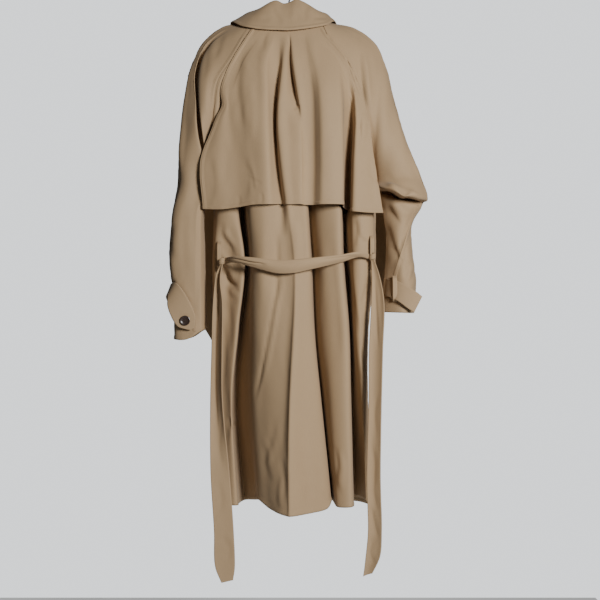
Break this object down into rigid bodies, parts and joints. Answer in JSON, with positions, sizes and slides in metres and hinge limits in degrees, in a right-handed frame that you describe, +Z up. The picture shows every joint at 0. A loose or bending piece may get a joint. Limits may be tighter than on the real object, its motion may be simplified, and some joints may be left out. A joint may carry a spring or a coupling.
{
  "type": "trench coat on a hanger",
  "caption": "Belted beige trench coat with raglan sleeves, storm flap, epaulettes and cuff straps, hanging on a coat hanger.",
  "frame": {"origin": "inside of the crown of the hanger's hook, where a rail carries it", "axes": "+Z up, -Y out of the coat's back, +Y out of its front, +X towards the wearer's right sleeve"},
  "size_m": [0.5981, 0.2282, 1.3689],
  "materials": {
    "gabardine": "fine twill with a slight sheen",
    "button": "dark brown, polished",
    "hanger": "matte black",
    "hook_steel": "satin"
  },
  "bodies": {
    "root": {"back": "gabardine", "belt_knot_left": "gabardine", "belt_knot_right": "gabardine", "belt_loop_left": "gabardine", "belt_loop_right": "gabardine", "belt_span": "gabardine", "belt_tail_left": "gabardine", "belt_tail_right": "gabardine", "collar_fall": "gabardine", "collar_stand": "gabardine", "cuff_button_left": "button", "cuff_button_right": "button", "cuff_keeper_left": "gabardine", "cuff_keeper_right": "gabardine", "cuff_strap_left": "gabardine", "cuff_strap_right": "gabardine", "epaulette_button_left": "button", "epaulette_button_right": "button", "epaulette_left": "gabardine", "epaulette_right": "gabardine", "front_button_1_1": "button", "front_button_1_2": "button", "front_button_2_1": "button", "front_button_2_2": "button", "front_button_3_1": "button", "front_button_3_2": "button", "front_left": "gabardine", "front_right": "gabardine", "hanger_hook": "hook_steel", "hanger_shoulders": "hanger", "lapel_left": "gabardine", "lapel_right": "gabardine", "sleeve_left_back": "gabardine", "sleeve_left_front": "gabardine", "sleeve_right_back": "gabardine", "sleeve_right_front": "gabardine", "storm_flap_back": "gabardine"}
  },
  "joints": []
}
